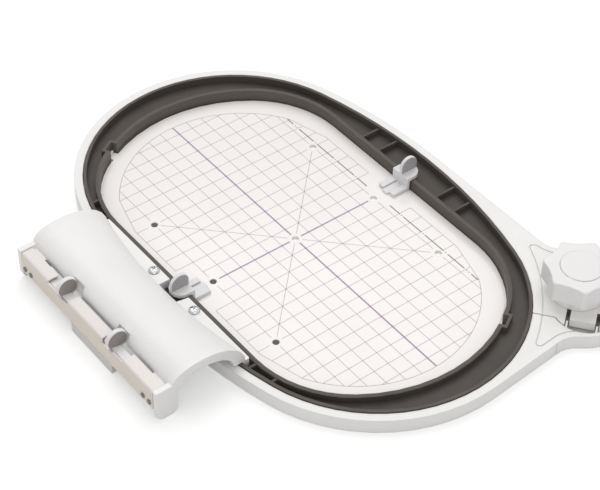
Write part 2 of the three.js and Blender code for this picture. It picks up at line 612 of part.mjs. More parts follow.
// Clip: fingers over the template, a hook under it, a ledge over the hoop wall and a thumb tab
function buildClip(side) {
  const { edge, out } = side;
  const half = CLIP_WIDTH / 2;
  const back = -SEAT_GAP;
  const face = back - CLIP_WALL;
  const bottom = SEAT_GAP / 2;
  const fingerBottom = TEMPLATE_THICK + SEAT_GAP;
  const ledgeBottom = clipNotchLevel + SEAT_GAP;
  const ledgeTop = ledgeBottom + LEDGE_THICK;
  const tip = face - FINGER_LENGTH;
  const across = (u) => edge + out * u;
  const ledgeCentre = new THREE.Vector2(across(back + LEDGE_REACH - half), 0);
  const facing = out > 0 ? 0 : 180;
  const ledge = [
    ...arc(ledgeCentre, half, facing - 90, facing + 90, 12),
    new THREE.Vector2(across(face), out * half),
    new THREE.Vector2(across(face), -out * half),
  ];
  const tabRadius = TAB_LENGTH / 2;
  const tabCentre = new THREE.Vector2(across(face + tabRadius), ledgeTop + TAB_HEIGHT - tabRadius);
  const tab = [
    ...arc(tabCentre, tabRadius, 0, 180, 12),
    new THREE.Vector2(tabCentre.x - tabRadius, ledgeTop - LEDGE_THICK / 2),
    new THREE.Vector2(tabCentre.x + tabRadius, ledgeTop - LEDGE_THICK / 2),
  ];
  const fingers = [-half, half - FINGER_WIDTH].map((y) =>
    edgeBox(side, tip, back, y, y + FINGER_WIDTH, fingerBottom, fingerBottom + FINGER_THICK));
  const tongue = [-TONGUE_WIDTH / 2, TONGUE_WIDTH / 2, fingerBottom, fingerBottom + FINGER_THICK / 2];
  return joined(
    edgeBox(side, face, back, -half, half, bottom, ledgeTop),
    edgeBox(side, face - HOOK_REACH, back, -half, half, bottom, bottom + HOOK_THICK),
    ...fingers,
    edgeBox(side, tip - TONGUE_EXTRA, back, ...tongue),
    plate(ledge, ledgeBottom, ledgeTop),
    bar(tab, -TAB_THICK / 2, TAB_THICK / 2),
  );
}
for (const side of clipSides) add(side.name, buildClip(side), greyPlastic());

// Coupling cover: a flange in the inner hoop's channel, an arch over the outer hoop, two end feet
const rootX = -SEAM_HALF_WIDTH + ROOT_INSET;
const crownX = rootX - ARCH_HALF_WIDTH;
const lipX = crownX - LIP_REACH;
const archBottom = INNER_HEIGHT + SEAT_GAP;
const railInnerX = lipX - RAIL_GAP;
const railOuterX = railInnerX - RAIL_WIDTH;
const railBackX = railOuterX + RAIL_SHEET; // inner face of the rail's upright sheet
const grooveX = (railBackX + railInnerX) / 2; // middle of the space inside the rail

function archProfile(wall, lipLevel) {
  const steps = ARCH_STEPS;
  const outer = [];
  const inner = [];
  for (let i = 0; i <= steps; i++) {
    const turn = (i / steps) * (Math.PI / 2);
    for (const [line, inset] of [[outer, 0], [inner, wall]]) {
      const x = crownX + (ARCH_HALF_WIDTH - inset) * Math.cos(turn);
      line.push(new THREE.Vector2(x, archBottom + (ARCH_TOP - inset - archBottom) * Math.sin(turn)));
    }
  }
  for (let i = 1; i <= steps; i++) {
    const turn = (i / steps) * (Math.PI / 2);
    for (const [line, inset] of [[outer, 0], [inner, wall]]) {
      const x = crownX - (LIP_REACH - inset) * Math.sin(turn) ** LIP_POWER;
      line.push(new THREE.Vector2(x, lipLevel + (ARCH_TOP - inset - lipLevel) * Math.cos(turn) ** LIP_POWER));
    }
  }
  return [...outer, ...inner.reverse()];
}

// The arch's root follows the hoop's side arc; its lip stays straight
function archBend(x, y) {
  const bow = sideRadius - Math.sign(sideRadius) * Math.sqrt(sideRadius ** 2 - y ** 2);
  return bow * THREE.MathUtils.clamp((x - lipX) / (rootX - lipX), 0, 1);
}

// s = 1 is the rear half of the coupling, s = -1 the front half; t is the distance from its centre
const halves = [{ name: 'rear', s: 1 }, { name: 'front', s: -1 }];
function halfBox(s, x0, x1, t0, t1, z0, z1) {
  const ends = [COUPLING_SHIFT + s * t0, COUPLING_SHIFT + s * t1];
  return box(x0, x1, Math.min(...ends), Math.max(...ends), z0, z1);
}

const footInnerX = lipX + FOOT_LAP;
const blockInnerX = railInnerX + BLOCK_REACH;
const blockBottom = RAIL_BOTTOM + BASE_SHEET + SEAT_GAP;
const blockTop = RAIL_TOP - RAIL_SHEET - SEAT_GAP;
const baseScrewPlace = COUPLING_HALF_LENGTH - FOOT_BLOCK + SMALL_HEAD + HEAD_MARGIN;
const baseScrewX = blockInnerX - SMALL_HEAD - HEAD_MARGIN;
const baseScrewTip = blockBottom + BASE_SCREW_DEPTH;
const gripX = grooveX + GRIP_OFFSET;

// Room for the pads: slots in the rail's top, notches in its outer face and hollows in the cover's lip
const slotNear = GRIP_PLACE - GRIP_SHIFT - GRIP_THICK / 2 - GRIP_TRAVEL - SLIDE_GAP;
const notchFar = GRIP_PLACE + GRIP_SHIFT + GRIP_THICK / 2 + SLIDE_GAP;
const padDrop = Math.sqrt(Math.max(0, GRIP_RADIUS ** 2 - (gripX - railBackX) ** 2));
const notchFloor = GRIP_LEVEL - padDrop - SLIDE_GAP;

// A rod along Y in one half of the coupling, from distance t0 to t1 of its centre
function halfRod(s, x, z, t0, t1, radius) {
  const ends = [COUPLING_SHIFT + s * t0, COUPLING_SHIFT + s * t1];
  return rodAlongY(x, z, Math.min(...ends), Math.max(...ends), radius);
}

function gripHollow(s) {
  return halfRod(s, gripX, GRIP_LEVEL, slotNear, notchFar, GRIP_RADIUS + SLIDE_GAP);
}

function coverEnd(s) {
  const inner = COUPLING_HALF_LENGTH - COVER_END_WALL;
  const ends = [inner, COUPLING_HALF_LENGTH].map((t) => COUPLING_SHIFT + s * t);
  const [y0, y1] = [Math.min(...ends), Math.max(...ends)];
  const foot = [
    new THREE.Vector2(railOuterX, FOOT_TOP),
    ...arc(new THREE.Vector2(railOuterX + FOOT_CORNER, FOOT_CORNER), FOOT_CORNER, 180, 270, FILLET_STEPS),
    ...arc(new THREE.Vector2(footInnerX - FOOT_CORNER, FOOT_CORNER), FOOT_CORNER, 270, 360, FILLET_STEPS),
    new THREE.Vector2(footInnerX, FOOT_TOP),
  ];
  const blockFront = COUPLING_HALF_LENGTH - FOOT_BLOCK;
  return joined(
    bar(archProfile(COVER_END_BAND, LIP_LEVEL), y0, y1, 1, archBend),
    bar(foot, y0, y1),
    halfBox(s, railBackX + SEAT_GAP, blockInnerX, blockFront, inner + CUT, blockBottom, blockTop),
  );
}

function buildCover() {
  const flange = plate(oval(-RIM_WALL - SEAT_GAP), floorTop + SEAT_GAP, flangeTop).intersect(
    box(-SEAM_HALF_WIDTH, flangeInnerX, couplingFront, couplingRear, 0, ARCH_TOP),
  );
  const shell = bar(archProfile(COVER_WALL, LIP_LEVEL), couplingFront, couplingRear, COVER_STEPS, archBend);
  const pocketLeft = templateLeft + SEAT_GAP - LEDGE_REACH - CLIP_POCKET_PLAY;
  const pocketHalf = CLIP_WIDTH / 2 + CLIP_POCKET_PLAY;
  const tools = [
    box(pocketLeft, flangeInnerX + CUT, -pocketHalf, pocketHalf, 0, flangeTop + CUT),
    ...screwPlaces.map((y) => rod(screwX, y, 0, flangeTop + CUT, SCREW_SHANK + SCREW_PLAY, 12)),
    ...halves.map(({ s }) => gripHollow(s)),
  ];
  for (const { s } of halves) {
    const screwY = COUPLING_SHIFT + s * baseScrewPlace;
    tools.push(...RIVET_PLACES.map((place) => rivetHole(s, place)));
    tools.push(rod(baseScrewX, screwY, 0, baseScrewTip + SEAT_GAP, smallHole, 12));
  }
  return cut(joined(flange, shell, ...halves.map(({ s }) => coverEnd(s))), ...tools);
}

function rivetHole(s, place) {
  const y = COUPLING_SHIFT + s * (COUPLING_HALF_LENGTH - place);
  const length = RAIL_SHEET + RIVET_GRIP + 2 * SEAT_GAP;
  const hole = rod(0, 0, -CUT, length, smallHole, 10);
  return hole.rotate([0, 90, 0]).translate([railOuterX, y, RIVET_LEVEL]);
}
add('coupling_cover', buildCover(), greyPlastic());

for (const { name, s } of halves) {
  const y = s * (SCREW_SPACING / 2);
  const screw = domedScrew(screwX, y, SCREW_HOLE_FLOOR + SEAT_GAP, flangeTop + SEAT_GAP);
  add(`flange_screw_${name}`, screw, steel());
}

// Coupling rail: folded sheet with two grip slots, riveted to the cover's feet
const railEnd = COUPLING_HALF_LENGTH - COVER_END_WALL - SEAT_GAP;

function buildRail() {
  const fold = new THREE.Vector2(railOuterX + RAIL_BEND, RAIL_TOP - RAIL_BEND);
  const profile = [
    new THREE.Vector2(railOuterX, RAIL_BOTTOM),
    new THREE.Vector2(railBackX, RAIL_BOTTOM),
    ...arc(fold, RAIL_BEND - RAIL_SHEET, 180, 90, FOLD_STEPS),
    new THREE.Vector2(railInnerX, RAIL_TOP - RAIL_SHEET),
    new THREE.Vector2(railInnerX, RAIL_TOP),
    ...arc(fold, RAIL_BEND, 90, 180, FOLD_STEPS),
  ];
  const tools = [];
  for (const { s } of halves) {
    const across = [railOuterX - CUT, railInnerX + CUT];
    tools.push(halfBox(s, ...across, slotNear, SLOT_FAR, SLOT_FLOOR, RAIL_TOP + CUT));
    tools.push(halfBox(s, ...across, slotNear, notchFar, notchFloor, RAIL_TOP + CUT));
    tools.push(...RIVET_PLACES.map((place) => rivetHole(s, place)));
  }
  return cut(bar(profile, COUPLING_SHIFT - railEnd, COUPLING_SHIFT + railEnd), ...tools);
}
add('coupling_rail', buildRail(), nickel());

for (const { name, s } of halves) {
  RIVET_PLACES.forEach((place, i) => {
    const tip = -RAIL_SHEET - RIVET_GRIP;
    const shank = [[0, tip], [RIVET_SHANK, tip], [RIVET_SHANK, SEAT_GAP]];
    const rivet = turned([...shank, ...dome(RIVET_HEAD, RIVET_DOME, SEAT_GAP)], 12).rotate([0, -90, 0]);
    const y = COUPLING_SHIFT + s * (COUPLING_HALF_LENGTH - place);
    add(`rail_rivet_${name}_${i + 1}`, rivet.translate([railOuterX, y, RIVET_LEVEL]), steel());
  });
}

// Coupling base: closes the rail from below, with the machine's two peg sockets and the spring stop
const baseLeft = railBackX + SEAT_GAP;
const latchBottom = RAIL_BOTTOM + BASE_SHEET + SEAT_GAP;
const sliderBottom = latchBottom + LATCH_SHEET + SEAT_GAP;
const sliderTop = sliderBottom + SLIDER_HEIGHT;

function buildBase() {
  const top = RAIL_BOTTOM + BASE_SHEET;
  const part = (x0, x1, front, rear, z0, z1) =>
    box(x0, x1, COUPLING_SHIFT - front, COUPLING_SHIFT + rear, z0, z1);
  const block = [railInnerX + BASE_BLOCK_REACH, BASE_BLOCK_FRONT, BASE_BLOCK_REAR];
  const tools = [];
  for (const { s } of halves) {
    tools.push(rod(grooveX, COUPLING_SHIFT + s * SOCKET_PLACE, -CUT, top + CUT, SOCKET_RADIUS, 20));
    tools.push(rod(baseScrewX, COUPLING_SHIFT + s * baseScrewPlace, 0, top + CUT, smallHole, 12));
  }
  const pieces = [
    part(baseLeft, blockInnerX, railEnd, railEnd, RAIL_BOTTOM, top),
    part(baseLeft, ...block, 0, top),
    part(railOuterX, ...block, 0, RAIL_BOTTOM - SEAT_GAP),
    part(baseLeft, grooveX + SLIDER_WIDTH / 2, STOP_HALF, STOP_HALF, 0, sliderTop),
  ];
  return cut(joined(...pieces), ...tools);
}
add('coupling_base', buildBase(), basePlastic());

for (const { name, s } of halves) {
  const seat = RAIL_BOTTOM - SEAT_GAP;
  const profile = [[0, seat - SMALL_HEAD_THICK], [SMALL_HEAD, seat - SMALL_HEAD_THICK], [SMALL_HEAD, seat],
    [RIVET_SHANK, seat], [RIVET_SHANK, baseScrewTip], [0, baseScrewTip]];
  const screw = placed(turned(profile, 14), baseScrewX, COUPLING_SHIFT + s * baseScrewPlace);
  add(`base_screw_${name}`, screw, steel());
}

// Release grips: a slider inside the rail with a round finger pad, a latch sheet and a return spring
class Helix extends THREE.Curve {
  constructor(x, z, y0, y1) {
    super();
    Object.assign(this, { x, z, y0, y1 });
  }
  getPoint(u) {
    const turn = u * SPRING_TURNS * 2 * Math.PI;
    return new THREE.Vector3(
      this.x + SPRING_RADIUS * Math.cos(turn),
      this.y0 + (this.y1 - this.y0) * u,
      this.z + SPRING_RADIUS * Math.sin(turn),
    );
  }
}

// Least gap of a coil to itself, between points at least half a curl apart
function leastSelfGap(path) {
  const fine = 4;
  const points = path.getPoints(fine * CURL_STEPS * SPRING_TURNS);
  const apart = (fine * CURL_STEPS) / 2;
  let least = Infinity;
  points.forEach((point, i) => {
    for (const other of points.slice(i + apart)) least = Math.min(least, point.distanceTo(other));
  });
  return least - 2 * SPRING_WIRE;
}

function buildSpring(s) {
  const near = COUPLING_SHIFT + s * (STOP_HALF + SEAT_GAP + SPRING_WIRE);
  const far = COUPLING_SHIFT + s * (SLIDER_NEAR - SEAT_GAP - SPRING_WIRE);
  const path = new Helix(grooveX, (sliderBottom + sliderTop) / 2, near, far);
  const side = 360 / WIRE_SIDES;
  const wire = new THREE.Shape(arc(new THREE.Vector2(), SPRING_WIRE, 0, 360 - side, WIRE_SIDES - 1));
  const steps = CURL_STEPS * SPRING_TURNS;
  console.log(`grip spring, least self-gap ${leastSelfGap(path).toFixed(2)} mm`);
  return solid(new THREE.ExtrudeGeometry(wire, { steps, bevelEnabled: false, extrudePath: path }));
}

function buildGrip(s) {
  const left = grooveX - SLIDER_WIDTH / 2;
  const right = grooveX + SLIDER_WIDTH / 2;
  const padNear = GRIP_PLACE + s * GRIP_SHIFT - GRIP_THICK / 2;
  const padFar = padNear + GRIP_THICK;
  return joined(
    halfBox(s, left, right, SLIDER_NEAR, SLIDER_FAR, sliderBottom, sliderTop),
    halfBox(s, left, right, padNear, padFar, sliderBottom, GRIP_LEVEL),
    halfRod(s, gripX, GRIP_LEVEL, padNear, padFar, GRIP_RADIUS),
  );
}

function buildLatch(s) {
  const left = grooveX - SLIDER_WIDTH / 2;
  const right = blockInnerX - SLIDE_GAP;
  const far = SOCKET_PLACE + LATCH_LENGTH / 2;
  const notchHalf = LATCH_NOTCH / 2;
  return cut(
    halfBox(s, left, right, far - LATCH_LENGTH, far, latchBottom, latchBottom + LATCH_SHEET),
    halfBox(s, grooveX - notchHalf, grooveX + notchHalf, SOCKET_PLACE, far + CUT, 0, sliderBottom),
  );
}

for (const { name, s } of halves) {
  add(`grip_${name}`, buildGrip(s), greyPlastic());
  add(`latch_${name}`, buildLatch(s), steel());
  add(`grip_spring_${name}`, buildSpring(s), steel());
}

// Twist lock: collar screwed to the hoop's rear end, cam on two pins, knob with its pivot screw and cap
const collarBottom = OUTER_HEIGHT + SEAT_GAP;
const collarTop = collarBottom + COLLAR_HEIGHT;
const collarRoof = collarTop - COLLAR_TOP;
const knobBottom = collarTop + SEAT_GAP;
const knobTop = knobBottom + KNOB_HEIGHT;
const camBottom = collarBottom + SEAT_GAP;
const camTop = camBottom + CAM_THICK;
const collarScrewTip = collarRoof - SEAT_GAP;

// A cup over the cam
function buildCollar() {
  const tools = [
    rod(0, 0, collarBottom - CUT, collarRoof, collarWell, 48),
    rod(0, 0, collarRoof - CUT, collarTop + CUT, COLLAR_BORE),
  ];
  for (const angle of COLLAR_SCREW_ANGLES) {
    const { x, y } = polar(angle, collarScrewPlace);
    tools.push(rod(x, y, 0, collarScrewTip + SEAT_GAP, smallHole, 12));
  }
  return placed(cut(rod(0, 0, collarBottom, collarTop, collarRadius, 48), ...tools), lock.x, lock.y);
}
add('lock_collar', buildCollar(), greyPlastic());

COLLAR_SCREW_ANGLES.forEach((angle, i) => {
  const { x, y } = polar(angle, collarScrewPlace, lock.x, lock.y);
  const head = SEAT_GAP + SMALL_HEAD_THICK;
  const profile = [[0, SEAT_GAP], [SMALL_HEAD, SEAT_GAP], [SMALL_HEAD, head], [RIVET_SHANK, head],
    [RIVET_SHANK, collarScrewTip], [0, collarScrewTip]];
  add(`collar_screw_${i + 1}`, placed(turned(profile, 14), x, y), steel());
});

halves.forEach(({ name }, i) => {
  const { x, y } = polar(camPinAngles[i], CAM_PIN_PLACE, lock.x, lock.y);
  const bottom = camPinBottoms[i] + SEAT_GAP;
  add(`cam_pin_${name}`, rod(x, y, bottom, camTop - SEAT_GAP, CAM_PIN_RADIUS), steel());
});

function buildCam() {
  const slotHalf = CAM_PIN_RADIUS + CAM_SLOT_PLAY;
  const spread = degrees(Math.asin(slotHalf / (CAM_PIN_PLACE - slotHalf)));
  const origin = new THREE.Vector2();
  const slots = camPinAngles.map((angle) => {
    const from = angle - KNOB_TURN - spread;
    const to = angle + spread;
    const outline = [
      ...arc(origin, CAM_PIN_PLACE + slotHalf, from, to, CAM_SLOT_STEPS),
      ...arc(origin, CAM_PIN_PLACE - slotHalf, to, from, CAM_SLOT_STEPS),
    ];
    return plate(outline, camBottom - CUT, camTop + CUT);
  });
  const disc = rod(0, 0, camBottom, camTop, camRadius, 40);
  const hub = rod(0, 0, camBottom, knobBottom - SEAT_GAP, COLLAR_BORE - SEAT_GAP, 20);
  const bore = rod(0, 0, camBottom - CUT, knobTop, PIVOT_SHANK + SEAT_GAP, 16);
  return placed(cut(joined(disc, hub), bore, ...slots), lock.x, lock.y);
}
add('cam_disc', buildCam(), basePlastic());

// Knob outline: tips joined by sides that curve gently inwards
function knobOutline(inset) {
  const tipTurn = 360 / KNOB_TIPS;
  const points = [];
  for (let k = 0; k < KNOB_TIPS; k++) {
    const a = polar(KNOB_PHASE + k * tipTurn, KNOB_TIP_RADIUS - inset);
    const b = polar(KNOB_PHASE + (k + 1) * tipTurn, KNOB_TIP_RADIUS - inset);
    const inwards = polar(KNOB_PHASE + (k + 0.5) * tipTurn, -KNOB_HOLLOW);
    for (let i = 0; i <= KNOB_SIDE_STEPS; i++) {
      const u = KNOB_TIP_CUT + ((1 - 2 * KNOB_TIP_CUT) * i) / KNOB_SIDE_STEPS;
      points.push(a.clone().lerp(b, u).addScaledVector(inwards, 4 * u * (1 - u)));
    }
  }
  return points;
}

const capSeat = knobTop + CAP_PROUD - CAP_THICK;
const pivotSeat = capSeat - PIVOT_HEAD_THICK - 3 * SEAT_GAP;

function buildKnob() {
  const shape = new THREE.Shape(knobOutline(KNOB_BEVEL));
  const body = solid(new THREE.ExtrudeGeometry(shape, {
    depth: KNOB_HEIGHT - 2 * KNOB_BEVEL,
    bevelEnabled: true,
    bevelThickness: KNOB_BEVEL,
    bevelSize: KNOB_BEVEL,
    bevelSegments: 2,
  }).translate(0, 0, knobBottom + KNOB_BEVEL));
  const tools = [
    rod(0, 0, knobBottom - CUT, knobTop + CUT, PIVOT_SHANK + SEAT_GAP, 16),
    rod(0, 0, pivotSeat, knobTop + CUT, PIVOT_HEAD + SEAT_GAP, 20),
    rod(0, 0, capSeat - SEAT_GAP, knobTop + CUT, CAP_RADIUS + SEAT_GAP, 32),
  ];
  return placed(cut(body, ...tools), lock.x, lock.y);
}
add('twist_knob', buildKnob(), greyPlastic());
add('knob_cap', rod(lock.x, lock.y, capSeat, capSeat + CAP_THICK, CAP_RADIUS, 32), greyPlastic());

function buildPivot() {
  const seat = pivotSeat + SEAT_GAP;
  const profile = [[0, camBottom], [PIVOT_SHANK, camBottom], [PIVOT_SHANK, seat], [PIVOT_HEAD, seat],
    [PIVOT_HEAD, seat + PIVOT_HEAD_THICK], [0, seat + PIVOT_HEAD_THICK]];
  return placed(turned(profile, 16), lock.x, lock.y);
}
add('knob_screw', buildPivot(), steel());

// The origin is under the middle of the whole hoop, on the surface it lies on
const extent = new THREE.Box3().setFromObject(group);
const middle = extent.getCenter(new THREE.Vector3());
group.position.set(-middle.x, -middle.y, 0);
group.updateMatrixWorld(true);

export default group;
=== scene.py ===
import json
import math

import bmesh
import bpy
from mathutils import Euler, Matrix, Vector, geometry
from mathutils.bvhtree import BVHTree


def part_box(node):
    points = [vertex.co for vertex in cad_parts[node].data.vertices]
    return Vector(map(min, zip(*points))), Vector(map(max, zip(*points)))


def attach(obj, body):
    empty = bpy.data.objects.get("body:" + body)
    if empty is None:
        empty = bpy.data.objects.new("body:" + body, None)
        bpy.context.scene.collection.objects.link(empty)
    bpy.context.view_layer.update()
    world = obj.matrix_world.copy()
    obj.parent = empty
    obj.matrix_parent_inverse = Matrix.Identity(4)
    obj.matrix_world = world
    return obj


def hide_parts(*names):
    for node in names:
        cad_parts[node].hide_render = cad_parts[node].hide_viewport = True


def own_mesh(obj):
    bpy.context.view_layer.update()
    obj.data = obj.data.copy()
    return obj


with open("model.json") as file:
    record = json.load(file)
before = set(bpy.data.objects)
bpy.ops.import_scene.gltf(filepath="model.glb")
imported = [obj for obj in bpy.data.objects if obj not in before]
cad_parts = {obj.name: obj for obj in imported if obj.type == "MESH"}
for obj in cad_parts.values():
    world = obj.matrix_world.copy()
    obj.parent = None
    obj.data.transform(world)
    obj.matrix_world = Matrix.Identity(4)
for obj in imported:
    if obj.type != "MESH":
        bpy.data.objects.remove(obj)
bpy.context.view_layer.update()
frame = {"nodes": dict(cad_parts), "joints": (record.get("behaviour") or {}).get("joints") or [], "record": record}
nodes = frame["nodes"]
record = frame["record"]
joints = {j["name"]: j for j in frame["joints"]}
body_of = {n: b for b, ns in record["behaviour"]["bodies"].items() for n in ns}
slot_of = {s["node"]: s["material_slot"] for s in record["subparts"]}

# Sizes of pieces and grain depths are in millimetres, and the stage is in metres.
MM = 0.001


# Nodes of a material

MIX_SHARE, MIX_A, MIX_B, MIX_COLOUR = 0, 6, 7, 2  # the mix node's sockets for colours
CLOUD_LOW, CLOUD_HIGH = 0.3, 0.7  # span of a noise's middle values
BEVEL_SAMPLES = 6


def new_material(name):
    mat = bpy.data.materials.new(name)
    mat.use_nodes = True
    nt = mat.node_tree
    return mat, nt, nt.nodes["Principled BSDF"]


def feed(nt, value, socket):
    """Links another node's output to a socket, or sets the socket to a plain value."""
    if isinstance(value, bpy.types.NodeSocket):
        nt.links.new(value, socket)
    else:
        socket.default_value = value


def add(nt, kind, **values):
    """A new node, with its sockets and settings given by name."""
    node = nt.nodes.new(kind)
    for key, value in values.items():
        if key in node.inputs:
            feed(nt, value, node.inputs[key])
        else:
            setattr(node, key, value)
    return node


def math_node(nt, operation, a, b):
    node = add(nt, "ShaderNodeMath", operation=operation)
    feed(nt, a, node.inputs[0])
    feed(nt, b, node.inputs[1])
    return node.outputs[0]


def mix_colour(nt, share, a, b):
    node = add(nt, "ShaderNodeMix", data_type="RGBA")
    for socket, value in ((MIX_SHARE, share), (MIX_A, a), (MIX_B, b)):
        feed(nt, value, node.inputs[socket])
    return node.outputs[MIX_COLOUR]


def ramp(nt, value, low, high):
    """Runs from 0 to 1 while a value goes from low to high."""
    node = add(nt, "ShaderNodeMapRange", **{"Value": value, "From Min": low, "From Max": high})
    return node.outputs["Result"]


def noise(nt, place, scale, detail=2, rough=0.6):
    node = add(
        nt, "ShaderNodeTexNoise", Vector=place, Scale=scale, Detail=detail, Roughness=rough
    )
    return node.outputs["Fac"]


def object_place(nt):
    return add(nt, "ShaderNodeTexCoord").outputs["Object"]


def stretched(nt, place, scale, turn=0):
    """Coordinates drawn out along one direction."""
    node = add(nt, "ShaderNodeMapping", Vector=place, Scale=scale, Rotation=(0, 0, turn))
    return node.outputs["Vector"]


def edges_of(nt):
    """High on edges that stand out, where the pale mouldings are rubbed."""
    return add(nt, "ShaderNodeNewGeometry").outputs["Pointiness"]


def tint(colour, by=1):
    return (*(min(1.0, c * by) for c in colour), 1)


def clouded(nt, pattern, colour, darkest, brightest):
    """A colour that drifts between two strengths."""
    share = ramp(nt, pattern, CLOUD_LOW, CLOUD_HIGH)
    return mix_colour(nt, share, tint(colour, darkest), tint(colour, brightest))


def marked(nt, tone, pattern, low, high, share, colour):
    """A tone with a share of a colour over it, where a pattern rises from low to high."""
    cover = math_node(nt, "MULTIPLY", ramp(nt, pattern, low, high), share)
    return mix_colour(nt, cover, tone, colour)


def varied(nt, pattern, least, spread):
    """A value that a pattern lifts from its least by up to this spread."""
    return math_node(nt, "ADD", math_node(nt, "MULTIPLY", pattern, spread), least)


def relief(nt, height, strength, depth, rounding=0):
    """Relief from a height, on edges that look rounded by this many millimetres."""
    node = add(nt, "ShaderNodeBump", Strength=strength, Distance=depth * MM, Height=height)
    if rounding:
        edge = add(nt, "ShaderNodeBevel", Radius=rounding * MM, samples=BEVEL_SAMPLES)
        feed(nt, edge.outputs["Normal"], node.inputs["Normal"])
    return node.outputs["Normal"]


def surface(nt, shader, **sockets):
    """Feeds the shader's colour, roughness and normal."""
    names = {"tone": "Base Color", "shine": "Roughness", "normal": "Normal"}
    for key, value in sockets.items():
        feed(nt, value, shader.inputs[names[key]])


# Materials

SHINE_SPREAD = 0.12  # span of a moulding's roughness


def moulded(name, colour, rough=0.45, grain=2600, depth=0.02, strength=0.25, vary=0.03, rounding=0):
    """Moulded plastic: spark-eroded grain, faint flow marks and edges rubbed a little brighter."""
    mat, nt, shader = new_material(name)
    place = object_place(nt)
    flow = noise(nt, place, scale=14, detail=3)
    speck = noise(nt, place, scale=900)
    fine = noise(nt, place, scale=grain, rough=0.55)
    tone = clouded(nt, flow, colour, 1 - vary, 1 + vary)
    tone = marked(nt, tone, speck, low=0.55, high=0.75, share=0.12, colour=tint(colour, 0.82))
    rubbed = tint(colour, 1.12)
    tone = marked(nt, tone, edges_of(nt), low=0.53, high=0.62, share=0.35, colour=rubbed)
    least = rough - SHINE_SPREAD / 2
    surface(
        nt, shader, tone=tone, shine=varied(nt, flow, least, SHINE_SPREAD),
        normal=relief(nt, fine, strength, depth, rounding),
    )
    return mat


def metal(name, colour, rough=0.3, stretch=(1, 1, 1), scale=1500, spread=0.14):
    """Metal with a drawn grain along one direction."""
    mat, nt, shader = new_material(name)
    shader.inputs["Metallic"].default_value = 1.0
    place = object_place(nt)
    drawn = noise(nt, stretched(nt, place, stretch), scale=scale, detail=3)
    cloud = noise(nt, place, scale=60, detail=3)
    tone = clouded(nt, cloud, colour, 0.95, 1.04)
    tone = marked(nt, tone, drawn, low=0.5, high=0.8, share=0.25, colour=tint(colour, 0.8))
    surface(
        nt, shader, tone=tone, shine=varied(nt, drawn, least=rough - spread / 2, spread=spread),
        normal=relief(nt, drawn, strength=0.3, depth=0.01),
    )
    return mat


def dark_moulding(name, colour):
    """Dull dark plastic, streaked, and paler along the edges that stand out on its rim and walls."""
    mat, nt, shader = new_material(name)
    shader.inputs["Specular IOR Level"].default_value = 0.16
    place = object_place(nt)
    flow = noise(nt, place, scale=22, detail=4, rough=0.65)
    streak = noise(nt, place, scale=120)
    fine = noise(nt, place, scale=2200, rough=0.55)
    tone = clouded(nt, flow, colour, 0.88, 1.14)
    tone = marked(nt, tone, streak, low=0.55, high=0.8, share=0.3, colour=tint(colour, 1.35))
    tone = marked(nt, tone, edges_of(nt), low=0.53, high=0.64, share=0.5, colour=tint(colour, 2.2))
    surface(
        nt, shader, tone=tone, shine=varied(nt, flow, least=0.36, spread=0.16),
        normal=relief(nt, fine, strength=0.35, depth=0.02, rounding=0.35),
    )
    return mat


def hazy_sheet(name, colour):
    """Clear sheet over a white ground: pale, glossy, slightly hazy and finely scratched."""
    mat, nt, shader = new_material(name)
    place = object_place(nt)
    haze = noise(nt, place, scale=18, detail=3)
    scratch = noise(nt, stretched(nt, place, (1, 0.05, 1), turn=0.6), scale=2600)
    surface(
        nt, shader, tone=clouded(nt, haze, colour, 0.985, 1.015),
        shine=varied(nt, ramp(nt, scratch, low=0.6, high=0.8), least=0.16, spread=0.18),
        normal=relief(nt, scratch, strength=0.08, depth=0.01),
    )
    return mat


def printed(name, colour):
    """Screen-printed ink with small breaks in its cover."""
    mat, nt, shader = new_material(name)
    cover = noise(nt, object_place(nt), scale=1400)
    breaks = ramp(nt, cover, low=0.35, high=0.75)
    surface(
        nt, shader, tone=mix_colour(nt, breaks, tint(colour), tint(colour, 1.5)),
        shine=varied(nt, cover, least=0.4, spread=0.2),
    )
    return mat


FINGER_GRAIN = dict(rough=0.6, grain=1400, depth=0.1, strength=0.6)
RAIL_PAINT = dict(rough=0.36, grain=3200, strength=0.15, vary=0.02)

outer_mat = moulded("outer_plastic", (0.845, 0.836, 0.818), rounding=0.7)
# Painted shade: a dark colour for the deep walls of the guide slots.
slot_shade_mat = moulded("slot_shade", (0.19, 0.17, 0.16), rough=0.6)
knob_mat = moulded("knob_plastic", (0.842, 0.835, 0.822))
cover_mat = moulded("cover_plastic", (0.855, 0.846, 0.836), rough=0.38, strength=0.12)
clip_mat = moulded("clip_plastic", (0.74, 0.73, 0.735), rough=0.42)
# Painted shade: the clip tabs' finger faces are darker, with a real coarse grain.
tab_shade_mat = moulded("clip_tab_face_shade", (0.37, 0.355, 0.365), **FINGER_GRAIN)
grip_mat = moulded("grip_plastic", (0.80, 0.79, 0.785), rough=0.42)
# Painted shade: the grip pads' finger faces are darker, with a real coarse grain.
pad_shade_mat = moulded("grip_pad_face_shade", (0.30, 0.275, 0.26), **FINGER_GRAIN)
base_mat = moulded("base_plastic", (0.66, 0.65, 0.64), rough=0.5)
cam_mat = moulded("cam_plastic", (0.62, 0.61, 0.58), rough=0.35)
rail_mat = moulded("rail_paint", (0.77, 0.72, 0.70), **RAIL_PAINT)
# Painted shade and painted reflection: the rail's outer face is the top's paint, darker and yellower.
rail_face_shade_mat = moulded("rail_face_shade_and_reflection", (0.76, 0.685, 0.60), **RAIL_PAINT)
chrome_mat = metal("screw_chrome", (0.60, 0.60, 0.60), rough=0.12, scale=900, spread=0.05)
